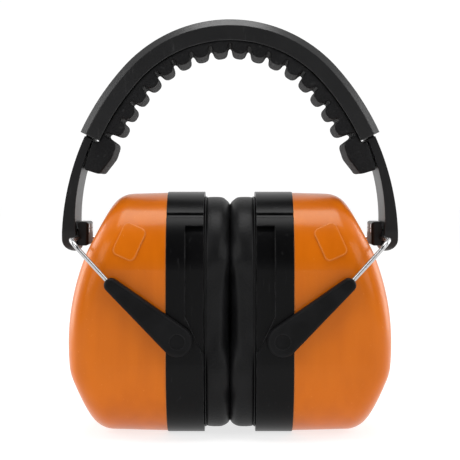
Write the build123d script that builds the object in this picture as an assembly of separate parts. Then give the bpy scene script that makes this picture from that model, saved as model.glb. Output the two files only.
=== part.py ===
from build123d import *
import os
from math import asin, cos, degrees, hypot, radians, sin, sqrt

os.makedirs("parts", exist_ok=True)

# Over-the-head earmuff, standing on its two closed cups. Millimetres, +Z up, X from cup to cup,
# +Y to the back. The origin is on the floor, midway between the cups.

# --- Cups ---
cup_height = 96.7
cup_depth = 80.0
cup_corner = 30.0          # radius of the cup outline's corners, seen from the side
ring_inner_x = 10.2        # face of the base ring that the cushion sits on
ring_outer_x = 24.8        # parting line between base ring and shell
ring_wall = 3.0
ring_web = 2.4             # inner flange that carries the cushion plate
cushion_gap = 0.15         # each cushion's face to the middle plane
shell_step = 0.4           # the shell is this much smaller all round than the base ring
shell_wall = 2.4
shell_draft = 1.5          # degrees
shell_rim_radius = 10.0    # rounding between the shell's side and its outer face
spigot_length = 3.2
spigot_wall = 1.8
slip_clearance = 0.15      # pieces that push together by hand

# Shell outline seen from the front: upper flat, dome and lower flat
upper_flat_top = (44.35, 96.7)
upper_flat_end = (55.9, 73.6)
dome_crown = (63.4, 37.0)
lower_flat_top_z = 25.5
lower_flat_foot_x = 52.8
upper_blend = 40.0
lower_blend = 20.0

# Raised panel on the shell's front and back
panel_centre = (39.0, 77.5)
panel_size = (9.0, 13.0)
panel_lean = 24.0          # degrees, along the upper flat
panel_height = 0.6

# Ear opening and cushion
ear_width = 44.0
ear_height = 60.0
ear_corner = 21.0
cushion_inset = 1.9
cushion_round = 4.2
cushion_skin = 0.8
plate_thickness = 2.0
plate_tab = (10.0, 1.6, 2.2)    # length, thickness and reach of a snap tab

# Foam inside the shell
foam_clearance = 0.8
foam_face_x = 31.0
foam_pocket_inset = 24.0
foam_pocket_depth = 12.0

# Finger recess beside the pivot, on the ring's front and back
recess_depth = 1.8
recess_side_x = 17.5
recess_top_z = 83.6
recess_slant_top_z = 48.6
recess_foot = (11.0, 34.7)
pad_thickness = 6.5        # thick part of the ring behind recess and pivot
pad_bottom_z = 26.0
groove_z = 87.6
groove_width = 1.8
groove_depth = 0.7

# --- Wire yoke and its sleeves ---
wire_radius = 0.9
pivot_x = 20.3
pivot_z = 39.3
yoke_x = 61.3              # swing axis, in the lower end of the arm
yoke_z = 78.2
sleeve_tip = (45.7, 61.0)
sleeve_thickness = 5.0
sleeve_eye_radius = 6.0
sleeve_tip_radius = 2.7
sleeve_edge = 1.4
sleeve_gap = 0.3           # sleeve to cup
pin_depth = 5.0
pin_bend = 2.2
sleeve_bend = 12.0
shoulder_bend = 5.0
running_clearance = 0.05

# --- Headband ---
band_top = 165.7
crown_radius = 57.5
side_radius = 105.5
side_centre_z = 76.1
band_width = 34.0
cover_wall = 2.0
cover_side = 2.0
cover_depth = 8.5
cover_edge = 2.6           # bevel along the cover's outer edges
cover_end_angle = 25.0     # degrees above the side arc's centre
strip_thickness = 1.0
strip_width = 24.0
strip_depth = 7.25
comb_width = 32.4
comb_root_depth = 9.2
crown_tip_depth = 13.6
end_tip_depth = 15.5
comb_pitch = 7.7
teeth_per_side = 8
tooth_root_width = 7.4
tooth_tip_width = 5.0
tooth_round = 2.2
end_block_angles = (26.6, 22.3, 17.4)
end_block_depths = (15.3, 15.9, 13.4)
rib_thickness = 1.6
rib_depth = 5.0
rib_end_angle = 62.0

# --- Arms ---
arm_width = 29.0
arm_gap = 0.25             # arm to cover
arm_top_thickness = 3.3
arm_middle_thickness = 4.1
arm_foot_thickness = 6.3
arm_foot_z = 72.6
arm_foot_corner = 9.0      # rounding of the foot seen from the side
arm_foot_round = (4.6, 1.4)     # outer and inner corner, seen from the front
tongue_length = 26.0
tongue_thickness = 2.6
tongue_width = 24.0
tongue_head_width = 26.0
tongue_head_length = 4.0
guide_mouth_length = 2.5
guide_width = 29.6
guide_top_angle = 56.0
rivet_radius = 1.25
rivet_head_radius = 2.2
rivet_head_height = 0.9
rivet_angle = 50.5
rivet_spacing = 14.0
keeper_width = 22.0
keeper_thickness = 4.2
keeper_foot_z = 75.0
keeper_top_z = 84.6
screw_radius = 1.0
screw_head_radius = 1.9
screw_head_height = 1.3
screw_length = 6.8
screw_spacing = 13.0
screw_z = 81.9

OVER = 30.0                # cutting tools run this far past what they cut

# Worked out from the sizes above
crown_z = band_top - crown_radius
side_centre_x = sqrt((side_radius - crown_radius) ** 2 - (crown_z - side_centre_z) ** 2)
join_angle = degrees(asin((crown_z - side_centre_z) / (side_radius - crown_radius)))
sleeve_inner_y = cup_depth / 2 + sleeve_gap
wire_y = sleeve_inner_y + sleeve_thickness / 2
arm_radius = side_radius - cover_wall - arm_gap
slide_angle = cover_end_angle + degrees(tongue_length / arm_radius) / 2
plate_outline_inset = ring_wall + slip_clearance


def xz(x, z):
    return Vector(x, 0, z)


def on_side(depth, angle):
    """A point on the right side arc, at a depth under the cover's outer face."""
    radius = side_radius - depth
    return xz(-side_centre_x + radius * cos(radians(angle)), side_centre_z + radius * sin(radians(angle)))


def on_crown(depth, angle):
    """A point on the crown arc, at a depth under the cover's outer face."""
    radius = crown_radius - depth
    return xz(radius * cos(radians(angle)), crown_z + radius * sin(radians(angle)))


def flip(point):
    return xz(-point.X, point.Z)


def slab(face, width):
    """A face in the XZ plane, thickened evenly to the front and back."""
    return extrude(face, amount=width / 2, dir=(0, 1, 0), both=True)


def flat_face(points):
    return make_face(Polyline(points, close=True))


def band_edge(depth, end_angle):
    """The band's line at one depth, from its right end over the crown to its left end."""
    end = on_side(depth, end_angle)
    middle = on_side(depth, (end_angle + join_angle) / 2)
    join = on_side(depth, join_angle)
    top = on_crown(depth, 90)
    return [
        ThreePointArc(end, middle, join),
        ThreePointArc(join, top, flip(join)),
        ThreePointArc(flip(join), flip(middle), flip(end)),
    ]


def band_face(outer_depth, inner_depth, end_angle):
    outer = band_edge(outer_depth, end_angle)
    inner = band_edge(inner_depth, end_angle)
    end = Line(on_side(outer_depth, end_angle), on_side(inner_depth, end_angle))
    other_end = Line(flip(on_side(outer_depth, end_angle)), flip(on_side(inner_depth, end_angle)))
    return make_face(outer + inner + [end, other_end])


def box_between(low, high):
    size = [b - a for a, b in zip(low, high)]
    middle = [(a + b) / 2 for a, b in zip(low, high)]
    return Pos(*middle) * Box(*size)


def along(start, end, radius):
    """A round rod between two points."""
    way = Vector(*end) - Vector(*start)
    return extrude(Plane(origin=start, z_dir=way) * Circle(radius), amount=way.length)


# --- Cup pieces, made for the right-hand cup ---

def outline(inset):
    """The cup's outline in the YZ plane, drawn in by an inset."""
    shape = RectangleRounded(cup_depth - 2 * inset, cup_height - 2 * inset, cup_corner - inset)
    return Pos(0, cup_height / 2) * shape


def ear_outline(grow):
    shape = RectangleRounded(ear_width + 2 * grow, ear_height + 2 * grow, ear_corner + grow)
    return Pos(0, cup_height / 2) * shape


def prism(sketch, low_x, high_x):
    return extrude(Plane.YZ.offset(low_x) * sketch, amount=high_x - low_x)


def nearest(items, x, z):
    return min(items, key=lambda v: hypot(v.X - x, v.Z - z))


def shell_profile(inset):
    """The shell seen from the front, run past the top, the floor and the parting line."""
    lean = (upper_flat_end[0] - upper_flat_top[0]) / (upper_flat_top[1] - upper_flat_end[1])
    top = xz(upper_flat_top[0] - OVER * lean, upper_flat_top[1] + OVER)
    upper = xz(*upper_flat_end)
    bulge = dome_crown[0] - upper_flat_end[0]
    dome_radius = ((upper_flat_end[1] - dome_crown[1]) ** 2 + bulge ** 2) / (2 * bulge)
    centre_x = dome_crown[0] - dome_radius
    lower_x = centre_x + sqrt(dome_radius ** 2 - (dome_crown[1] - lower_flat_top_z) ** 2)
    lower = xz(lower_x, lower_flat_top_z)
    fall = (lower_x - lower_flat_foot_x) / lower_flat_top_z
    foot = xz(lower_flat_foot_x - OVER * fall, -OVER)
    back_x = ring_outer_x - OVER
    face = make_face([
        Line(top, upper),
        ThreePointArc(upper, xz(*dome_crown), lower),
        Line(lower, foot),
        Line(foot, xz(back_x, -OVER)),
        Line(xz(back_x, -OVER), xz(back_x, top.Z)),
        Line(xz(back_x, top.Z), top),
    ])
    face = fillet(nearest(face.vertices(), upper.X, upper.Z), upper_blend)
    face = fillet(nearest(face.vertices(), lower.X, lower.Z), lower_blend)
    return offset(face, amount=-inset, kind=Kind.INTERSECTION) if inset else face


def shell_form(inset):
    """The shell's rounded outer form, drawn in by an inset, closed at the parting line."""
    reach = dome_crown[0] - ring_outer_x
    around = Plane.YZ.offset(ring_outer_x) * outline(shell_step + inset)
    body = extrude(around, amount=reach + OVER, taper=shell_draft)
    body = body & slab(shell_profile(inset), cup_depth + OVER)
    rim = [e for e in body.edges() if e.center().X > ring_outer_x + 0.1 and not_along_wall(e)]
    return fillet(rim, shell_rim_radius - inset)


def not_along_wall(edge):
    """False for the seams of the side wall, which reach the parting line, and of the outer face."""
    ends = edge.vertices()
    reaches_parting = min(v.X for v in ends) < ring_outer_x + 0.1
    crosses_face = max(v.Y for v in ends) - min(v.Y for v in ends) > cup_depth / 3
    same_height = max(v.Z for v in ends) - min(v.Z for v in ends) < 0.5
    inside_height = 5 < ends[0].Z < cup_height - 5
    return not reaches_parting and not (crosses_face and same_height and inside_height)


def make_shell():
    outer = shell_form(0)
    inner = shell_form(shell_wall)
    mouth = prism(outline(shell_step + shell_wall), ring_outer_x - 1, ring_outer_x + 0.5)
    lean = Rot(0, 0, panel_lean)
    panel = Pos(*panel_centre) * lean * RectangleRounded(*panel_size, 2.0)
    badge = extrude(Plane.XZ * panel, amount=cup_depth, both=True)
    badge = badge & shell_form(-panel_height)
    return outer + badge - inner - mouth


def make_base_ring():
    side = prism(outline(0), ring_inner_x, ring_outer_x)
    side -= prism(outline(ring_wall), ring_inner_x - 1, ring_outer_x + 1)
    web_x = ring_inner_x + plate_thickness + slip_clearance
    web = prism(outline(ring_wall / 2), web_x, web_x + ring_web) - prism(ear_outline(1.0), 0, ring_outer_x)
    spigot_inset = shell_step + shell_wall + slip_clearance
    spigot_end = ring_outer_x + spigot_length
    spigot = prism(outline(spigot_inset), web_x, spigot_end)
    spigot -= prism(outline(spigot_inset + spigot_wall), 0, spigot_end + 1)
    ring = side + web + spigot
    recess = slab(flat_face([
        xz(0, recess_foot[1]),
        xz(*recess_foot),
        xz(recess_side_x, recess_slant_top_z),
        xz(recess_side_x, recess_top_z),
        xz(0, recess_top_z),
    ]), cup_depth + OVER)
    for side_y in (-1, 1):
        face_y = side_y * cup_depth / 2
        pad_y = side_y * (cup_depth / 2 - pad_thickness)
        pad = box_between(
            (web_x, min(face_y, pad_y), pad_bottom_z), (ring_outer_x, max(face_y, pad_y), recess_top_z + 2)
        )
        ring += pad & prism(outline(0), 0, ring_outer_x)
        hole_end = side_y * (cup_depth / 2 - pin_depth - 0.5)
        ring -= along(
            (pivot_x, face_y * 1.2, pivot_z), (pivot_x, hole_end, pivot_z), wire_radius + running_clearance
        )
    ring -= recess & prism(outline(-1) - outline(recess_depth), 0, ring_outer_x)
    groove = prism(outline(0) - outline(groove_depth), ring_inner_x - 1, ring_outer_x)
    ring -= groove & box_between(
        (0, -cup_depth, groove_z - groove_width / 2), (OVER, cup_depth, groove_z + groove_width / 2)
    )
    for tab in plate_tabs(slip_clearance):
        ring -= tab
    return ring


def plate_tabs(grow):
    """Four snap tabs on the cushion plate, or with grow, the slots that they go through."""
    length, thickness, reach = plate_tab
    low_x = ring_inner_x + plate_thickness - 0.5
    high_x = ring_inner_x + plate_thickness + ring_web + reach + grow
    half_length = length / 2 + grow
    half_thickness = thickness / 2 + grow
    middle_z = cup_height / 2
    away_z = (ear_height + cup_height - 2 * ring_wall) / 4
    away_y = (ear_width + cup_depth - 2 * ring_wall) / 4 - 2.0
    tabs = []
    for up in (-1, 1):
        tab_z = middle_z + up * away_z
        tabs.append(box_between(
            (low_x, -half_length, tab_z - half_thickness), (high_x, half_length, tab_z + half_thickness)
        ))
        tab_y = up * away_y
        tabs.append(box_between(
            (low_x, tab_y - half_thickness, middle_z - half_length),
            (high_x, tab_y + half_thickness, middle_z + half_length),
        ))
    return tabs


def make_cushion_plate():
    plate = prism(outline(plate_outline_inset), ring_inner_x, ring_inner_x + plate_thickness)
    plate -= prism(ear_outline(1.0), 0, ring_outer_x)
    for tab in plate_tabs(0):
        plate += tab
    return plate


def cushion_form(inset, back_x):
    """The cushion's ring with its rounded front edges, drawn in by an inset."""
    front_x = cushion_gap + inset
    ring = prism(outline(cushion_inset + inset) - ear_outline(inset), front_x, back_x)
    front_edges = [e for e in ring.edges() if e.center().X < front_x + 0.01]
    return fillet(front_edges, cushion_round - inset)


def make_ear_cushion():
    return cushion_form(0, ring_inner_x) - cushion_form(cushion_skin, ring_inner_x + 1)


def make_cushion_foam():
    return cushion_form(cushion_skin, ring_inner_x)


def make_absorber_foam():
    block = shell_form(shell_wall + foam_clearance)
    block = block & box_between((foam_face_x, -cup_depth, 0), (dome_crown[0], cup_depth, cup_height))
    pocket = prism(outline(foam_pocket_inset), foam_face_x - 1, foam_face_x + foam_pocket_depth)
    return block - pocket


# --- Yoke pieces, made for the right-hand side ---

def make_wire_yoke():
    """One bent wire: pin, leg, cross rod through the arm, leg and pin."""
    pin_y = cup_depth / 2 - pin_depth
    half = [(pivot_x, pin_y, pivot_z), (pivot_x, wire_y, pivot_z),
            (sleeve_tip[0], wire_y, sleeve_tip[1]), (yoke_x, wire_y, yoke_z)]
    front = [(x, -y, z) for x, y, z in half]
    bends = [pin_bend, sleeve_bend, shoulder_bend]
    path = FilletPolyline(*(front + half[::-1]), radius=bends + bends[::-1])
    start = Plane(origin=front[0], z_dir=(0, -1, 0))
    return sweep(start * Circle(wire_radius), path=path)


def make_sleeve(wire):
    """The front sleeve: a tapered grip over the wire with a round eye over the pivot."""
    eye = Pos(pivot_x, pivot_z) * Circle(sleeve_eye_radius)
    tip = Pos(*sleeve_tip) * Circle(sleeve_tip_radius)
    flat = make_hull(eye.edges() + tip.edges())
    body = extrude(Plane.XZ.offset(sleeve_inner_y) * flat, amount=sleeve_thickness)
    face_y = -sleeve_inner_y - sleeve_thickness
    outer = [e for e in body.edges() if e.center().Y < face_y + 0.01]
    body = fillet(outer, sleeve_edge)
    dimple = along((pivot_x, face_y + 0.5, pivot_z), (pivot_x, face_y - 1, pivot_z), sleeve_eye_radius / 2)
    return body - dimple - wire


# --- Arm pieces, made for the right-hand side ---

def tongue_face(start, end, outer_lift, inner_drop):
    """A strip along the slide's line, from start to end above the cover's mouth."""
    mouth = on_side(cover_wall + arm_gap, cover_end_angle)
    up = Vector(-sin(radians(slide_angle)), 0, cos(radians(slide_angle)))
    inward = Vector(-cos(radians(slide_angle)), 0, -sin(radians(slide_angle)))
    corners = [(start, -outer_lift), (end, -outer_lift), (end, inner_drop), (start, inner_drop)]
    return flat_face([mouth + up * a + inward * b for a, b in corners])


def make_arm_plate():
    outer_depth = side_radius - arm_radius
    foot_angle = degrees(asin((arm_foot_z - side_centre_z) / arm_radius))
    top_angle = cover_end_angle - 0.4
    middle_angle = (top_angle + foot_angle) / 2
    outer_top = on_side(outer_depth, top_angle)
    outer_foot = on_side(outer_depth, foot_angle)
    inner_top = on_side(outer_depth + arm_top_thickness, top_angle)
    inner_middle = on_side(outer_depth + arm_middle_thickness, middle_angle)
    inner_foot = on_side(outer_depth + arm_foot_thickness, foot_angle)
    face = make_face([
        ThreePointArc(outer_top, on_side(outer_depth, middle_angle), outer_foot),
        Line(outer_foot, inner_foot),
        ThreePointArc(inner_foot, inner_middle, inner_top),
        Line(inner_top, outer_top),
    ])
    for corner, radius in zip((outer_foot, inner_foot), arm_foot_round):
        face = fillet(nearest(face.vertices(), corner.X, corner.Z), radius)
    blade = slab(face, arm_width)
    arm_height = band_top - arm_foot_z
    side_view = Pos(0, arm_foot_z + arm_height / 2) * RectangleRounded(arm_width, arm_height, arm_foot_corner)
    blade = blade & prism(side_view, 0, side_radius)
    tongue = slab(tongue_face(-1.6, tongue_length, -0.25, 0.25 + tongue_thickness), tongue_width)
    head = slab(
        tongue_face(tongue_length - tongue_head_length, tongue_length, -0.25, 0.25 + tongue_thickness),
        tongue_head_width,
    )
    arm = blade + tongue + head
    arm -= box_between(
        (yoke_x - OVER, -keeper_width / 2, keeper_foot_z), (yoke_x, keeper_width / 2, keeper_top_z)
    )
    arm -= wire_groove()
    for screw in keeper_screws():
        arm -= screw
    return arm


def wire_groove():
    return along((yoke_x, -arm_width, yoke_z), (yoke_x, arm_width, yoke_z), wire_radius + running_clearance)


def keeper_screws():
    head_x = yoke_x - keeper_thickness
    screws = []
    for y in (-screw_spacing / 2, screw_spacing / 2):
        head = along((head_x, y, screw_z), (head_x + screw_head_height, y, screw_z), screw_head_radius)
        shank = along((head_x, y, screw_z), (head_x + screw_length, y, screw_z), screw_radius)
        slot = box_between((head_x - 1, y - 1.2, screw_z - 0.25), (head_x + 0.5, y + 1.2, screw_z + 0.25))
        screws.append(head + shank - slot)
    return screws


def make_keeper():
    inner_x = yoke_x - keeper_thickness
    block = box_between(
        (inner_x, -keeper_width / 2, keeper_foot_z), (yoke_x, keeper_width / 2, keeper_top_z)
    )
    inner_edges = [e for e in block.edges() if e.center().X < inner_x + 0.01]
    block = fillet(inner_edges, 1.2) - wire_groove()
    for y in (-screw_spacing / 2, screw_spacing / 2):
        block -= along((inner_x - 1, y, screw_z), (yoke_x + 1, y, screw_z), screw_radius)
        block -= along(
            (inner_x - 1, y, screw_z), (inner_x + screw_head_height, y, screw_z), screw_head_radius
        )
    return block


# --- Headband pieces ---

def make_cover():
    shell = slab(band_face(0, cover_depth, cover_end_angle), band_width)
    edges = [e for e in shell.edges() if is_outer_band_edge(e)]
    shell = chamfer(edges, cover_edge)
    hollow = slab(
        band_face(cover_wall, cover_depth + 1, cover_end_angle - 3), band_width - 2 * cover_side
    )
    return shell - hollow


def is_outer_band_edge(edge):
    """The long edges on the cover's outer face, at its front and back."""
    middle = edge.position_at(0.5)
    at_side = abs(abs(middle.Y) - band_width / 2) < 0.01
    from_crown = hypot(middle.X, middle.Z - crown_z)
    from_side = hypot(abs(middle.X) + side_centre_x, middle.Z - side_centre_z)
    return at_side and (abs(from_crown - crown_radius) < 0.01 or abs(from_side - side_radius) < 0.01)


def rivet_line(y, outer_depth, inner_depth):
    start = on_crown(outer_depth, rivet_angle)
    end = on_crown(inner_depth, rivet_angle)
    return (start.X, y, start.Z), (end.X, y, end.Z)


def rivet_places():
    return (-rivet_spacing / 2, rivet_spacing / 2)


def make_spring_strip():
    strip = slab(band_face(strip_depth, strip_depth + strip_thickness, cover_end_angle + 0.6), strip_width)
    for y in rivet_places():
        hole = along(*rivet_line(y, strip_depth - 1, strip_depth + strip_thickness + 1), rivet_radius)
        strip -= hole
        strip -= mirror(hole, about=Plane.YZ)
    return strip


def make_guide():
    """The right-hand channel that the arm's tongue slides in."""
    outer_depth = cover_wall + 0.1
    inner_depth = strip_depth
    low = cover_end_angle + 0.2
    middle = (low + join_angle) / 2
    crown_middle = (join_angle + guide_top_angle) / 2

    def edge(depth):
        return [
            ThreePointArc(on_side(depth, low), on_side(depth, middle), on_side(depth, join_angle)),
            ThreePointArc(
                on_crown(depth, join_angle), on_crown(depth, crown_middle), on_crown(depth, guide_top_angle)
            ),
        ]

    face = make_face(edge(outer_depth) + edge(inner_depth) + [
        Line(on_side(outer_depth, low), on_side(inner_depth, low)),
        Line(on_crown(outer_depth, guide_top_angle), on_crown(inner_depth, guide_top_angle)),
    ])
    guide = slab(face, guide_width)
    floor_drop = 0.25 + tongue_thickness + slip_clearance
    slot = slab(
        tongue_face(guide_mouth_length, tongue_length + 0.8, 5, floor_drop),
        tongue_head_width + 2 * slip_clearance,
    )
    mouth = slab(tongue_face(-5, tongue_length, 5, floor_drop), tongue_width + 2 * slip_clearance)
    guide = guide - slot - mouth
    for y in rivet_places():
        guide -= along(*rivet_line(y, outer_depth - 1, inner_depth + 1), rivet_radius)
        guide -= along(*rivet_line(y, outer_depth - 1, outer_depth + rivet_head_height), rivet_head_radius)
    return guide


def make_rivets():
    """Two right-hand rivets that hold guide and strip together."""
    outer_depth = cover_wall + 0.1
    inner_depth = strip_depth + strip_thickness
    rivets = []
    for y in rivet_places():
        shank = along(*rivet_line(y, outer_depth, inner_depth + 0.1), rivet_radius)
        head = along(*rivet_line(y, outer_depth, outer_depth + rivet_head_height), rivet_head_radius)
        tail = along(*rivet_line(y, inner_depth + 0.06, inner_depth + 0.7), rivet_head_radius)
        rivets.append(shank + head + tail)
    return rivets


def tooth_face(centre, radius_at_root, radius_at_tip, angle):
    """One comb tooth, pointing at the centre of its arc."""
    inward = Vector(-cos(radians(angle)), 0, -sin(radians(angle)))
    across = Vector(-inward.Z, 0, inward.X)
    root = centre - inward * (radius_at_root + 0.5)
    tip = centre - inward * radius_at_tip
    face = flat_face([
        root + across * (tooth_root_width / 2),
        tip + across * (tooth_tip_width / 2),
        tip - across * (tooth_tip_width / 2),
        root - across * (tooth_root_width / 2),
    ])
    tips = sorted(face.vertices(), key=lambda v: (Vector(v.X, 0, v.Z) - tip).length)[:2]
    return fillet(tips, tooth_round)


def comb_teeth():
    """The right-hand teeth: evenly spaced along the comb, and longer towards its end."""
    middle_depth = (comb_root_depth + end_tip_depth) / 2
    crown_run = (crown_radius - middle_depth) * radians(90 - join_angle)
    teeth = []
    for number in range(teeth_per_side):
        run = comb_pitch * (number + 0.5)
        tip_depth = crown_tip_depth + (end_tip_depth - crown_tip_depth) * number / (teeth_per_side - 1)
        if run < crown_run:
            angle = 90 - degrees(run / (crown_radius - middle_depth))
            centre = xz(0, crown_z)
            radius = crown_radius
        else:
            angle = join_angle - degrees((run - crown_run) / (side_radius - middle_depth))
            centre = xz(-side_centre_x, side_centre_z)
            radius = side_radius
        teeth.append(tooth_face(centre, radius - comb_root_depth, radius - tip_depth, angle))
    return teeth


def end_block_face():
    """The comb's thick right-hand end, beside the arm and below the cover."""
    outer_depth = side_radius - arm_radius + arm_top_thickness + 0.6
    high, middle, low = end_block_angles
    shift = cover_end_angle - 0.6
    points = [
        on_side(comb_root_depth - 1, high + 1.0),
        on_side(cover_depth, high + 1.0),
        on_side(cover_depth, shift),
        on_side(outer_depth, shift),
        on_side(outer_depth + 0.6, low),
        on_side(end_block_depths[2], low),
        on_side(end_block_depths[1], middle),
        on_side(end_block_depths[0], high - 0.6),
        on_side(comb_root_depth, high),
    ]
    face = flat_face(points)
    rounded = [nearest(face.vertices(), p.X, p.Z) for p in points[5:8]]
    return fillet(rounded, 1.4)


def make_comb():
    comb = slab(band_face(cover_depth, comb_root_depth, cover_end_angle), comb_width)
    for tooth in comb_teeth():
        solid = slab(tooth, comb_width)
        comb += solid
        comb += mirror(solid, about=Plane.YZ)
    block = slab(end_block_face(), comb_width)
    comb += block
    comb += mirror(block, about=Plane.YZ)
    rib_face = make_face([
        ThreePointArc(*[on_crown(rib_depth, a) for a in (rib_end_angle, 90, 180 - rib_end_angle)]),
        ThreePointArc(*[on_crown(cover_depth + 0.5, a) for a in (rib_end_angle, 90, 180 - rib_end_angle)]),
        Line(on_crown(rib_depth, rib_end_angle), on_crown(cover_depth + 0.5, rib_end_angle)),
        Line(on_crown(rib_depth, 180 - rib_end_angle), on_crown(cover_depth + 0.5, 180 - rib_end_angle)),
    ])
    rib = extrude(rib_face, amount=rib_thickness, dir=(0, 1, 0))
    rib_y = band_width / 2 - cover_side - slip_clearance - rib_thickness
    comb += Pos(0, rib_y, 0) * rib
    comb += Pos(0, -rib_y - rib_thickness, 0) * rib
    for y in rivet_places():
        inner_depth = strip_depth + strip_thickness
        hole = along(*rivet_line(y, inner_depth - 1, inner_depth + 0.9), rivet_head_radius + 0.3)
        comb -= hole
        comb -= mirror(hole, about=Plane.YZ)
    return comb


def save(name, shape):
    solids = shape if isinstance(shape, list) else shape.solids()
    piece = solids[0] if len(solids) == 1 else Compound(children=list(solids))
    piece.label = name
    export_step(piece, f"parts/{name}.step")


def save_both_sides(name, shape):
    """The right-hand piece and its mirror image on the left."""
    solids = shape if isinstance(shape, list) else list(shape.solids())
    save(f"right_{name}", solids)
    save(f"left_{name}", [mirror(s, about=Plane.YZ) for s in solids])


wire = make_wire_yoke()
front_sleeve = make_sleeve(wire)
guide_rivets = make_rivets()

save("headband_cover", make_cover())
save("spring_strip", make_spring_strip())
save("comb_cushion", make_comb())
save("guide_rivets", guide_rivets + [mirror(r, about=Plane.YZ) for r in guide_rivets])
save_both_sides("slide_guide", make_guide())

save_both_sides("arm_plate", make_arm_plate())
save_both_sides("wire_keeper", make_keeper())
save_both_sides("keeper_screws", keeper_screws())

save_both_sides("wire_yoke", wire)
save_both_sides("front_sleeve", front_sleeve)
save_both_sides("rear_sleeve", mirror(front_sleeve, about=Plane.XZ))

save_both_sides("shell", make_shell())
save_both_sides("base_ring", make_base_ring())
save_both_sides("cushion_plate", make_cushion_plate())
save_both_sides("ear_cushion", make_ear_cushion())
save_both_sides("cushion_foam", make_cushion_foam())
save_both_sides("absorber_foam", make_absorber_foam())
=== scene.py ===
from math import copysign, cos, pi, sin

import bmesh
import bpy
from mathutils import Matrix, Vector, noise


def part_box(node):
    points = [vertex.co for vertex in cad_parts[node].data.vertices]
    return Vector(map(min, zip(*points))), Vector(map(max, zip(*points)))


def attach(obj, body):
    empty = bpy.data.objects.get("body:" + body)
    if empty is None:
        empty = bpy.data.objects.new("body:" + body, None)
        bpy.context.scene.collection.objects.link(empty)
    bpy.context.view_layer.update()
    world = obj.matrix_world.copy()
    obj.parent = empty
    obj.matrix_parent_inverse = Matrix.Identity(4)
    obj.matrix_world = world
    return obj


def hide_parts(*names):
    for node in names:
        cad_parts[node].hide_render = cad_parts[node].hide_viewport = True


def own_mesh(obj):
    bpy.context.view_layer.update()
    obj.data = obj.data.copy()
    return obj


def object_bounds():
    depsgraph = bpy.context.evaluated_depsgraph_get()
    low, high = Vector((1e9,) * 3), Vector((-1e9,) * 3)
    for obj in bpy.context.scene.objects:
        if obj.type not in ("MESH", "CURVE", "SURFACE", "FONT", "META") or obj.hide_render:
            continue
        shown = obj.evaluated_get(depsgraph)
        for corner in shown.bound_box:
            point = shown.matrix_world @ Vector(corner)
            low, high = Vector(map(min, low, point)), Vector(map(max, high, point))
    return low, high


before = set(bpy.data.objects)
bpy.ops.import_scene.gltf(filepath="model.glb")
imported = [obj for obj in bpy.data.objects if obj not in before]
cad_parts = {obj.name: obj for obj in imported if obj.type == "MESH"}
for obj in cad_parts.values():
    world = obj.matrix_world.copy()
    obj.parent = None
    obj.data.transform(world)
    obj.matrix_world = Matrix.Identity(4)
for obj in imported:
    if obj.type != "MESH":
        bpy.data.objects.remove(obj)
cad_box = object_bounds()


# ---------------------------------------------------------------------------------------------------
# Spring strip. A band of tempered steel that clamps the cups to the head. It is rolled and sheared
# flat, bent to the arch and then hidden between the headband's cover and its comb cushion.
# ---------------------------------------------------------------------------------------------------

class Value:
    """A number, colour or vector in a material. Writing a sum with numbers adds its Math nodes."""

    def __init__(self, tree, socket):
        self.tree = tree
        self.socket = socket

    def node(self, kind, settings=None, inputs=None, output=0):
        """Adds any other node: its settings first, then the values or links of its sockets."""
        made = self.tree.nodes.new(kind)
        for name, setting in (settings or {}).items():
            setattr(made, name, setting)
        for name, value in (inputs or {}).items():
            if isinstance(value, Value):
                self.tree.links.new(value.socket, made.inputs[name])
            else:
                made.inputs[name].default_value = value
        return Value(self.tree, made.outputs[output])

    def maths(self, operation, *values):
        return self.node("ShaderNodeMath", {"operation": operation}, dict(enumerate(values)))

    def __add__(self, other):
        return self.maths("ADD", self, other)

    def __radd__(self, other):
        return self.maths("ADD", other, self)

    def __sub__(self, other):
        return self.maths("SUBTRACT", self, other)

    def __rsub__(self, other):
        return self.maths("SUBTRACT", other, self)

    def __mul__(self, other):
        return self.maths("MULTIPLY", self, other)

    def __rmul__(self, other):
        return self.maths("MULTIPLY", other, self)

    def between(self, low, high):
        """0 below low and 1 above high, with a smooth step between them."""
        settings = {"interpolation_type": "SMOOTHSTEP"}
        return self.node("ShaderNodeMapRange", settings, {"Value": self, "From Min": low, "From Max": high})

    def noise(self, size, detail=2.0, stretch=(1, 1, 1)):
        """Noise at this place, from 0 to 1, with marks of about this size in metres."""
        scaled = self.node("ShaderNodeVectorMath", {"operation": "MULTIPLY"}, {0: self, 1: stretch})
        inputs = {"Vector": scaled, "Scale": 1 / size, "Detail": detail}
        return self.node("ShaderNodeTexNoise", None, inputs)

    def cells(self, size):
        """Distance to the nearest cell centre of a foam or grain of this size."""
        return self.node("ShaderNodeTexVoronoi", None, {"Vector": self, "Scale": 1 / size})

    def mix(self, first, second):
        """A colour that goes from first to second as this value goes from 0 to 1."""
        inputs = {0: self, 6: first, 7: second}
        return self.node("ShaderNodeMix", {"data_type": "RGBA"}, inputs, output=2)

    def bump(self, depth, normal=None):
        """The normal of a surface that stands this many metres proud where this value is 1."""
        inputs = {"Height": self, "Distance": depth}
        if normal:
            inputs["Normal"] = normal
        return self.node("ShaderNodeBump", None, inputs)

    def rounded_edges(self, radius):
        """The normal of the piece with its sharp edges eased to this radius."""
        return self.node("ShaderNodeBevel", {"samples": 6}, {"Radius": radius})

    def edges(self, radius):
        """1 along the piece's sharp edges and 0 away from them."""
        true_normal = self.node("ShaderNodeNewGeometry", output=1)
        eased = self.rounded_edges(radius)
        settings = {"operation": "DOT_PRODUCT"}
        likeness = self.node("ShaderNodeVectorMath", settings, {0: eased, 1: true_normal}, output=1)
        return 1 - likeness.between(0.80, 0.995)


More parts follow.
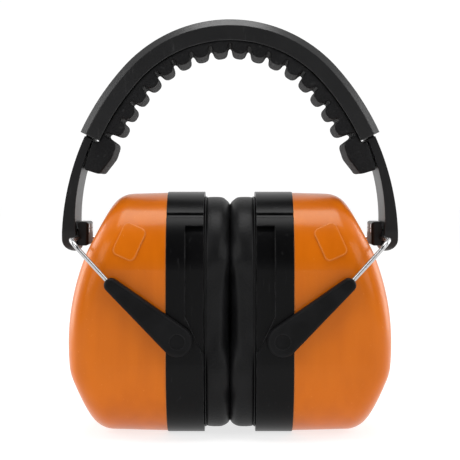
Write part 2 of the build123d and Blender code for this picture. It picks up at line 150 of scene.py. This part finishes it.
def new_finish(name, **fixed):
    """A material with its fixed shader settings: (material, shader, place on the piece)."""
    material = bpy.data.materials.new(name)
    material.use_nodes = True
    tree = material.node_tree
    shader = tree.nodes["Principled BSDF"]
    for socket, value in fixed.items():
        shader.inputs[socket.replace("_", " ")].default_value = value
    coordinates = tree.nodes.new("ShaderNodeTexCoord")
    return material, shader, Value(tree, coordinates.outputs["Object"])


def feed(shader, **varying):
    """Links what changes over the surface to the shader's sockets."""
    for socket, value in varying.items():
        value.tree.links.new(value.socket, shader.inputs[socket.replace("_", " ")])


def steel(name, dark, light, roughness, mark_size, stretch):
    """Unpainted steel with fine marks in its surface and a few dull patches."""
    material, shader, place = new_finish(name, Metallic=1.0)
    marks = place.noise(mark_size, 3.0, stretch)
    patches = place.noise(0.009, 3.0)
    feed(
        shader,
        Base_Color=(0.7 * marks + 0.3 * patches).between(0.3, 0.7).mix(dark, light),
        Roughness=roughness + 0.14 * marks + 0.10 * patches.between(0.5, 0.8),
        Normal=marks.bump(0.00001, place.rounded_edges(0.00025)),
    )
    return material


def finish_node(node, material):
    """A CAD piece takes its detailed material."""
    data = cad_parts[node].data
    data.materials.clear()
    data.materials.append(material)


rolled_steel = steel(
    "rolled_steel",
    dark=(0.26, 0.26, 0.28, 1),
    light=(0.46, 0.46, 0.48, 1),
    roughness=0.22,
    mark_size=0.0006,
    stretch=(0.15, 2.0, 0.15),
)
finish_node("spring_strip", rolled_steel)


# ---------------------------------------------------------------------------------------------------
# Slide guides and rivets. Each end of the strip has a moulded channel that the arm's tongue slides
# in, of the same black plastic as the arms, held by two plated rivets set through strip and guide.
# ---------------------------------------------------------------------------------------------------

SIDES = {"left": -1, "right": 1}


def moulded_plastic(name, colour, worn_and_highlight, shine, roughness, grain_size, grain_depth):
    """Black plastic from a textured mould, paler along its sharp edges from wear and a painted highlight,
    with faint handling marks.
    """
    material, shader, place = new_finish(name, Specular_IOR_Level=shine)
    grain = place.noise(grain_size, 2.0)
    cloud = place.noise(0.016, 4.0)
    rubs = place.noise(0.0011, 5.0, (1, 1, 0.12)).between(0.62, 0.74)
    # Paler along the sharp edges: partly wear, partly a painted highlight of edges catching the light.
    edge = place.edges(0.0007) * place.noise(0.003, 3.0).between(0.35, 0.65)
    shade = (0.5 * cloud + 0.25 * grain).between(0.1, 0.65)
    body = shade.mix([0.75 * part for part in colour[:3]] + [1], colour)
    feed(
        shader,
        Base_Color=(0.5 * edge + 0.15 * rubs).mix(body, worn_and_highlight),
        Roughness=roughness + 0.10 * cloud + 0.08 * rubs - 0.08 * edge,
        Normal=(grain + 0.3 * rubs).bump(grain_depth, place.rounded_edges(0.0005)),
    )
    return material


arm_plastic = moulded_plastic(
    "arm_plastic",
    colour=(0.008, 0.008, 0.0085, 1),
    worn_and_highlight=(0.05, 0.05, 0.052, 1),
    shine=0.20,
    roughness=0.34,
    grain_size=0.00035,
    grain_depth=0.000012,
)
plated_steel = steel(
    "plated_steel",
    dark=(0.48, 0.48, 0.49, 1),
    light=(0.70, 0.70, 0.71, 1),
    roughness=0.14,
    mark_size=0.0005,
    stretch=(1, 1, 1),
)
finish_node("guide_rivets", plated_steel)
for side in SIDES:
    finish_node(f"{side}_slide_guide", arm_plastic)


# ---------------------------------------------------------------------------------------------------
# Headband cover. A flexible black plastic channel moulded to the arch, with bevelled outer edges and
# a fine spark-eroded grain. It snaps over the strip and hides the rivets.
# ---------------------------------------------------------------------------------------------------

cover_plastic = moulded_plastic(
    "cover_plastic",
    colour=(0.006, 0.006, 0.0065, 1),
    worn_and_highlight=(0.06, 0.06, 0.06, 1),
    shine=0.40,
    roughness=0.26,
    grain_size=0.00045,
    grain_depth=0.00003,
)
finish_node("headband_cover", cover_plastic)


# ---------------------------------------------------------------------------------------------------
# Comb cushion. Soft foamed rubber pressed into the cover's open side. Its teeth let air through and
# give under the head, so every edge is rounded and no face is quite flat.
# ---------------------------------------------------------------------------------------------------

def soft_copy(node, name, voxel, smoothing):
    """A new piece with a CAD piece's form, in even small faces, with every edge rounded off."""
    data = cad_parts[node].data.copy()
    data.materials.clear()
    piece = bpy.data.objects.new(name, data)
    bpy.context.collection.objects.link(piece)
    remesh = piece.modifiers.new("even", "REMESH")
    remesh.mode = "VOXEL"
    remesh.voxel_size = voxel
    remesh.use_smooth_shade = True
    smooth = piece.modifiers.new("soft", "SMOOTH")
    smooth.factor = 0.5
    smooth.iterations = smoothing
    apply_modifiers(piece)
    return piece


def apply_modifiers(piece):
    """The piece's mesh becomes what its modifiers make of it."""
    evaluated = piece.evaluated_get(bpy.context.evaluated_depsgraph_get())
    result = bpy.data.meshes.new_from_object(evaluated)
    piece.modifiers.clear()
    piece.data = result


def swell(piece, amount, size):
    """Moves the surface in and out along its normals in soft lumps of this size."""
    vertices = piece.data.vertices
    moves = [vertex.normal * amount * noise.noise(vertex.co / size) for vertex in vertices]
    for vertex, move in zip(vertices, moves):
        vertex.co += move


def foamed_rubber():
    """Dull black rubber with open pores darkened by painted shade, and a little dust."""
    material, shader, place = new_finish("foamed_rubber", Specular_IOR_Level=0.12)
    pores = place.cells(0.0007)
    fine = place.noise(0.0003, 3.0)
    cloud = place.noise(0.010, 3.0)
    dust = place.noise(0.0016, 5.0).between(0.58, 0.75)
    # The tone varies at random with the cloud and is darker in the pores' low spots, which is painted
    # shade.
    shade = (0.6 * cloud + 0.4 * pores).between(0.2, 0.75)
    rubber = shade.mix((0.0045, 0.0045, 0.005, 1), (0.010, 0.010, 0.0105, 1))
    feed(
        shader,
        Base_Color=(0.12 * dust).mix(rubber, (0.10, 0.10, 0.10, 1)),
        Roughness=0.62 + 0.20 * fine,
        Normal=(pores + 0.5 * fine).bump(0.00006),
    )
    return material


comb = soft_copy("comb_cushion", "comb_pad", voxel=0.0007, smoothing=5)
swell(comb, amount=0.00012, size=0.006)
comb.data.materials.append(foamed_rubber())
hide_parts("comb_cushion")
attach(comb, "headband")


# ---------------------------------------------------------------------------------------------------
# Arms. Slim curved blades of tough black plastic that slide out of the headband for height. Each has
# a block screwed to its foot with two plated screws, which keeps the wire's cross rod in a groove.
# ---------------------------------------------------------------------------------------------------

for side in SIDES:
    finish_node(f"{side}_arm_plate", arm_plastic)
    finish_node(f"{side}_wire_keeper", arm_plastic)
    finish_node(f"{side}_keeper_screws", plated_steel)


# ---------------------------------------------------------------------------------------------------
# Wire yokes. One length of hard-drawn bright steel wire on each side, bent round the cup, with a
# cross rod that turns in the arm and two pins that snap into the cup's base ring.
# ---------------------------------------------------------------------------------------------------

drawn_wire = steel(
    "drawn_wire",
    dark=(0.36, 0.36, 0.37, 1),
    light=(0.55, 0.55, 0.55, 1),
    roughness=0.12,
    mark_size=0.0004,
    stretch=(1, 1, 1),
)
for side in SIDES:
    finish_node(f"{side}_wire_yoke", drawn_wire)


# ---------------------------------------------------------------------------------------------------
# Sleeves. Black rubber grips moulded over the wire's ends, with a round eye over the pivot and a
# tapered tail up the leg. They keep the wire off the cup and stop it rattling.
# ---------------------------------------------------------------------------------------------------

def moulded_rubber():
    """Satin black rubber with a fine grain, paler along its edges from grey bloom and a painted highlight.
    """
    material, shader, place = new_finish("moulded_rubber", Specular_IOR_Level=0.10)
    grain = place.noise(0.0004, 3.0)
    cloud = place.noise(0.007, 4.0)
    # Paler along the sharp edges: partly grey bloom, partly a painted highlight of edges catching the
    # light.
    bloom_and_edge_highlight = place.edges(0.0008) * place.noise(0.002, 3.0)
    body = cloud.between(0.3, 0.7).mix((0.003, 0.003, 0.0032, 1), (0.006, 0.006, 0.0065, 1))
    worn_and_highlight = (0.05, 0.05, 0.052, 1)
    feed(
        shader,
        Base_Color=(0.4 * bloom_and_edge_highlight).mix(body, worn_and_highlight),
        Roughness=0.46 + 0.18 * cloud,
        Normal=grain.bump(0.00002, place.rounded_edges(0.0004)),
    )
    return material


sleeve_rubber = moulded_rubber()
for side in SIDES:
    for end in ("front", "rear"):
        finish_node(f"{side}_{end}_sleeve", sleeve_rubber)


# ---------------------------------------------------------------------------------------------------
# Base rings and cushion plates. Each cup's black ring carries the pivots and takes the shell's rim,
# and a plate with four snap tabs holds the ear cushion in it. Both are of one satin black plastic.
# ---------------------------------------------------------------------------------------------------

ring_plastic = moulded_plastic(
    "ring_plastic",
    colour=(0.0025, 0.0025, 0.0028, 1),
    worn_and_highlight=(0.05, 0.05, 0.052, 1),
    shine=0.11,
    roughness=0.25,
    grain_size=0.0006,
    grain_depth=0.000012,
)
for side in SIDES:
    finish_node(f"{side}_base_ring", ring_plastic)
    finish_node(f"{side}_cushion_plate", ring_plastic)


# ---------------------------------------------------------------------------------------------------
# Ear cushions. A thin black vinyl skin, heat-welded at its outer and inner rims, around a ring of
# soft foam. The skin is a little too big for the foam, so it wrinkles along its inner and outer sides.
# ---------------------------------------------------------------------------------------------------

def vinyl():
    """Soft black skin with a leather-like grain, duller in broad patches."""
    material, shader, place = new_finish("vinyl", Specular_IOR_Level=0.15)
    grain = place.cells(0.0009)
    fine = place.noise(0.0003, 3.0)
    cloud = place.noise(0.012, 4.0)
    body = cloud.between(0.3, 0.7).mix((0.003, 0.003, 0.0033, 1), (0.006, 0.006, 0.0065, 1))
    feed(
        shader,
        Base_Color=body,
        Roughness=0.32 + 0.16 * cloud + 0.06 * grain,
        Normal=(grain + 0.4 * fine).bump(0.00004),
    )
    return material


cushion_corner = 0.0281
ear_width = 0.044
ear_height = 0.060
ear_corner = 0.021
skin_slack = 0.0006        # the skin is made this much inside its place, to leave room for wrinkles
contact_x = 0.0            # the two cushions touch at the middle plane
pressed_depth = 0.0003     # skin this near the middle plane is pressed onto the other cushion
squeeze = 0.0008           # how far each would go past the middle if the other weren't there
front_shape = 0.85         # a well rounded front edge
back_shape = 0.16          # a nearly square back edge
weld_width = 0.0012        # skin this near the back face is held still
wrinkle_depth = 0.0008     # moves of the skin longer than this are cut back to it
air_pressure = 4
skin_growth = 0.05         # the skin is cut this share too big
settling_moments = 20
section_points = 28
corner_steps = 14
straight_steps = 7


def rounded_outline(width, height, corner):
    """Points round a rounded rectangle in the YZ plane: the same number of them for any size."""
    arcs = []
    for quarter, (across, up) in enumerate([(1, 1), (-1, 1), (-1, -1), (1, -1)]):
        centre = Vector((0, across * (width / 2 - corner), up * (height / 2 - corner)))
        turns = [pi / 2 * (quarter + step / corner_steps) for step in range(corner_steps + 1)]
        arcs.append([centre + corner * Vector((0, cos(turn), sin(turn))) for turn in turns])
    points = []
    for arc, next_arc in zip(arcs, arcs[1:] + arcs[:1]):
        points += arc
        points += [arc[-1].lerp(next_arc[0], step / straight_steps) for step in range(1, straight_steps)]
    return points


def loft_ring(name, outer, inner, section):
    """A closed ring. Each point of its section is (share of the way from inner to outer, x)."""
    builder = bmesh.new()
    rows = []
    for outer_point, inner_point in zip(outer, inner):
        places = [(x, inner_point.lerp(outer_point, share)) for share, x in section]
        rows.append([builder.verts.new((x, place.y, place.z)) for x, place in places])
    for row, next_row in zip(rows, rows[1:] + rows[:1]):
        corners = zip(row, row[1:] + row[:1], next_row[1:] + next_row[:1], next_row)
        for around in corners:
            builder.faces.new(around).smooth = True
    bmesh.ops.recalc_face_normals(builder, faces=builder.faces)
    data = bpy.data.meshes.new(name)
    builder.to_mesh(data)
    builder.free()
    piece = bpy.data.objects.new(name, data)
    bpy.context.collection.objects.link(piece)
    return piece


def puffed_section(low_x, high_x, front_shape, back_shape):
    """A fat section between two x values. The lower a side's shape number, the squarer it is."""
    points = []
    for step in range(section_points):
        turn = 2 * pi * (step + 0.5) / section_points
        squareness = back_shape if sin(turn) > 0 else front_shape
        across = copysign(abs(cos(turn)) ** squareness, cos(turn))
        through = copysign(abs(sin(turn)) ** squareness, sin(turn))
        points.append((0.5 + across / 2, (low_x + high_x) / 2 + through * (high_x - low_x) / 2))
    return points


def inflate(piece, held_points, longest_move):
    """Blows the skin up from inside, with the welded points held, and keeps every move short."""
    held = piece.vertex_groups.new(name="welded")
    held.add(held_points, 1.0, "REPLACE")
    cloth = piece.modifiers.new("skin", "CLOTH")
    cloth.settings.quality = 6
    cloth.settings.use_pressure = True
    cloth.settings.uniform_pressure_force = air_pressure
    cloth.settings.shrink_min = -skin_growth
    cloth.settings.effector_weights.gravity = 0
    cloth.settings.vertex_group_mass = held.name
    for moment in range(1, settling_moments + 1):
        bpy.context.scene.frame_set(moment)
    blown = piece.evaluated_get(bpy.context.evaluated_depsgraph_get())
    places = [vertex.co.copy() for vertex in blown.data.vertices]
    piece.modifiers.clear()
    bpy.context.scene.frame_set(1)
    for vertex, place in zip(piece.data.vertices, places):
        move = place - vertex.co
        vertex.co += move * min(1, longest_move / max(move.length, 1e-9))


def press_flat(piece, back_x, stop_x):
    """The closed cups press their cushions together: every section reaches the other and flattens."""
    vertices = list(piece.data.vertices)
    for start in range(0, len(vertices), section_points):
        section = vertices[start:start + section_points]
        reach = back_x - min(vertex.co.x for vertex in section)
        stretch = (back_x - stop_x + squeeze) / reach
        for vertex in section:
            vertex.co.x = max(stop_x, back_x - (back_x - vertex.co.x) * stretch)


def mirrored(piece, name):
    """The same piece for the left-hand side."""
    data = piece.data.copy()
    data.transform(Matrix.Scale(-1, 4, (1, 0, 0)))
    data.flip_normals()
    other = bpy.data.objects.new(name, data)
    bpy.context.collection.objects.link(other)
    return other


cushion_low, cushion_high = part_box("right_ear_cushion")
cushion_centre = (cushion_low + cushion_high) / 2
cushion_size = cushion_high - cushion_low


def cushion_outline(inset):
    """The cushion's outer edge, drawn in by an inset."""
    return rounded_outline(cushion_size.y - 2 * inset, cushion_size.z - 2 * inset, cushion_corner - inset)


cushion_section = puffed_section(cushion_low.x + skin_slack, cushion_high.x, front_shape, back_shape)
right_cushion = loft_ring(
    "right_cushion",
    cushion_outline(skin_slack),
    rounded_outline(ear_width + 2 * skin_slack, ear_height + 2 * skin_slack, ear_corner + skin_slack),
    cushion_section,
)
right_cushion.data.transform(Matrix.Translation((0, 0, cushion_centre.z)))
weld_x = cushion_high.x - weld_width
welded = [vertex.index for vertex in right_cushion.data.vertices if vertex.co.x > weld_x]
inflate(right_cushion, welded, wrinkle_depth)
press_flat(right_cushion, cushion_high.x, contact_x)
finer = right_cushion.modifiers.new("finer", "SUBSURF")
finer.levels = 1
apply_modifiers(right_cushion)
for vertex in right_cushion.data.vertices:
    if vertex.co.x < pressed_depth:
        vertex.co.x = contact_x
right_cushion.data.materials.append(vinyl())

seam_radius = 0.00035
seam_outside = 0.0004      # the seam's centre line, inside the cushion's outline
seam_inside = 0.018        # the line that the seam's share is measured from
seam_share = 0.02          # its radius as a share of the way between those two
seam_x = cushion_high.x - 0.0005
seam_turns = [2 * pi * step / 8 for step in range(8)]
seam_section = [(1.0 + seam_share * cos(turn), seam_x + seam_radius * sin(turn)) for turn in seam_turns]
right_seam = loft_ring(
    "right_cushion_seam", cushion_outline(seam_outside), cushion_outline(seam_inside), seam_section
)
right_seam.data.transform(Matrix.Translation((0, 0, cushion_centre.z)))
right_seam.data.materials.append(right_cushion.data.materials[0])

left_cushion = mirrored(right_cushion, "left_cushion")
left_seam = mirrored(right_seam, "left_cushion_seam")
for side, cushion, seam in (("right", right_cushion, right_seam), ("left", left_cushion, left_seam)):
    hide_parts(f"{side}_ear_cushion", f"{side}_cushion_foam")
    for piece in (cushion, seam):
        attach(piece, f"{side}_cup")
    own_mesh(cushion)


# ---------------------------------------------------------------------------------------------------
# Absorber foam. A block of dark open-cell foam, cut with a shallow pocket for the ear and pushed into
# the shell by hand. Its cut faces show torn cells, and its corners are a little rounded.
# ---------------------------------------------------------------------------------------------------

def open_foam():
    """Dark open-cell foam with large and small torn cells, their hollows darkened by painted shade."""
    material, shader, place = new_finish("open_foam", Specular_IOR_Level=0.15, Roughness=0.95)
    cells = place.cells(0.0016)
    small = place.cells(0.0007)
    # Painted shade: darker where the bump makes the surface low, in the cells' hollows.
    shaded_hollows = (0.6 * cells + 0.4 * small).between(0.15, 0.6)
    feed(
        shader,
        Base_Color=shaded_hollows.mix((0.075, 0.075, 0.08, 1), (0.02, 0.02, 0.022, 1)),
        Normal=(1 - shaded_hollows).bump(0.0004),
    )
    return material


foam_finish = open_foam()
for side in SIDES:
    foam = soft_copy(f"{side}_absorber_foam", f"{side}_foam_block", voxel=0.002, smoothing=3)
    swell(foam, amount=0.0003, size=0.008)
    foam.data.materials.append(foam_finish)
    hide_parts(f"{side}_absorber_foam")
    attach(foam, f"{side}_cup")


# ---------------------------------------------------------------------------------------------------
# Shells. Hard orange outer cups, moulded with a soft gloss. Each snaps over the base ring's spigot.
# They show faint flow marks, a slight orange-peel and small scattered scuffs, and a painted highlight runs
# along their edges.
# ---------------------------------------------------------------------------------------------------

def orange_plastic():
    """Orange plastic with a soft gloss, faint flow marks, paler scuffs, and a painted highlight along its
    edges.
    """
    material, shader, place = new_finish(
        "orange_plastic", Specular_IOR_Level=0.28, Specular_Tint=(1, 0.78, 0.45, 1), Coat_Roughness=0.12
    )
    peel = place.noise(0.0016, 2.0)
    cloud = place.noise(0.030, 3.0)
    flow = place.noise(0.010, 4.0, (1.6, 1.6, 0.25))
    scuffs = place.noise(0.0010, 5.0, (1, 0.15, 1)).between(0.66, 0.76)
    # A painted highlight: the sharp edges are paler, as if catching the light.
    edge = place.edges(0.0011)
    tone = (0.5 * cloud + 0.5 * flow).between(0.3, 0.7)
    body = tone.mix((0.52, 0.110, 0.001, 1), (0.60, 0.135, 0.002, 1))
    scuff_and_edge_highlight = (0.80, 0.30, 0.08, 1)
    feed(
        shader,
        Base_Color=(0.25 * scuffs + 0.55 * edge).mix(body, scuff_and_edge_highlight),
        Roughness=0.26 + 0.08 * cloud + 0.15 * scuffs,
        Coat_Weight=0.15 - 0.1 * scuffs,
        Normal=(peel + 0.2 * scuffs).bump(0.000012, place.rounded_edges(0.0004)),
    )
    return material


shell_finish = orange_plastic()
for side in SIDES:
    finish_node(f"{side}_shell", shell_finish)


# ---------------------------------------------------------------------------------------------------
# Studio. A white floor, a world that glows white behind the piece, and soft boxes above it, before it
# and behind it at both sides. The world in front stays dim, so the black pieces keep their depth.
# ---------------------------------------------------------------------------------------------------

floor_size = 14.0

floor_mesh = bpy.data.meshes.new("studio_floor")
builder = bmesh.new()
bmesh.ops.create_grid(builder, x_segments=4, y_segments=4, size=floor_size / 2)
builder.to_mesh(floor_mesh)
builder.free()
floor = bpy.data.objects.new("studio_floor", floor_mesh)
bpy.context.collection.objects.link(floor)
floor_finish, floor_shader, floor_place = new_finish(
    "floor_paper", Specular_IOR_Level=0.1, Emission_Color=(1, 1, 1, 1), Emission_Strength=0.75
)
feed(
    floor_shader,
    Base_Color=floor_place.noise(0.004, 3.0).mix((0.34, 0.34, 0.34, 1), (0.37, 0.37, 0.37, 1)),
    Roughness=0.85 + 0.1 * floor_place.noise(0.02, 2.0),
)
floor_mesh.materials.append(floor_finish)

world = bpy.data.worlds.new("studio")
bpy.context.scene.world = world
world.use_nodes = True
sky = world.node_tree
way = Value(sky, sky.nodes.new("ShaderNodeTexCoord").outputs["Generated"])
depth = way.node("ShaderNodeSeparateXYZ", None, {"Vector": way}, output=1)
seen = way.node("ShaderNodeLightPath")
glow = 0.05 + depth.between(-0.45, 0.20)
background = sky.nodes["Background"]
sky.links.new((glow + seen * (1.05 - glow)).socket, background.inputs["Strength"])
background.inputs["Color"].default_value = (1, 1, 1, 1)


def soft_box(name, place, aim, width, height, power):
    """A rectangular studio light that faces a point."""
    light = bpy.data.lights.new(name, "AREA")
    light.shape = "RECTANGLE"
    light.size = width
    light.size_y = height
    light.energy = power
    lamp = bpy.data.objects.new(name, light)
    lamp.location = place
    lamp.rotation_euler = (Vector(aim) - Vector(place)).to_track_quat("-Z", "Y").to_euler()
    bpy.context.collection.objects.link(lamp)


middle = (cad_box[0] + cad_box[1]) / 2
soft_box("top_box", (0, -0.10, 1.30), middle, 0.7, 0.7, 9)
for side, sign in SIDES.items():
    soft_box(f"{side}_front_box", (sign * 0.85, -0.85, 0.60), middle, 0.7, 0.9, 5.5)
    soft_box(f"{side}_rim_box", (sign * 1.0, 0.45, 0.35), middle, 0.6, 0.9, 6)

camera_distance = 0.650
camera_height = 0.099
aim_height = 0.081

camera = bpy.data.objects.new("camera", bpy.data.cameras.new("camera"))
camera.data.lens = 124
camera.data.clip_start = 0.05
camera.data.clip_end = 100
camera.location = (0, -camera_distance, camera_height)
camera.rotation_euler = (Vector((0, 0, aim_height)) - camera.location).to_track_quat("-Z", "Y").to_euler()
bpy.context.collection.objects.link(camera)
bpy.context.scene.camera = camera
bpy.context.scene.view_settings.view_transform = "Standard"
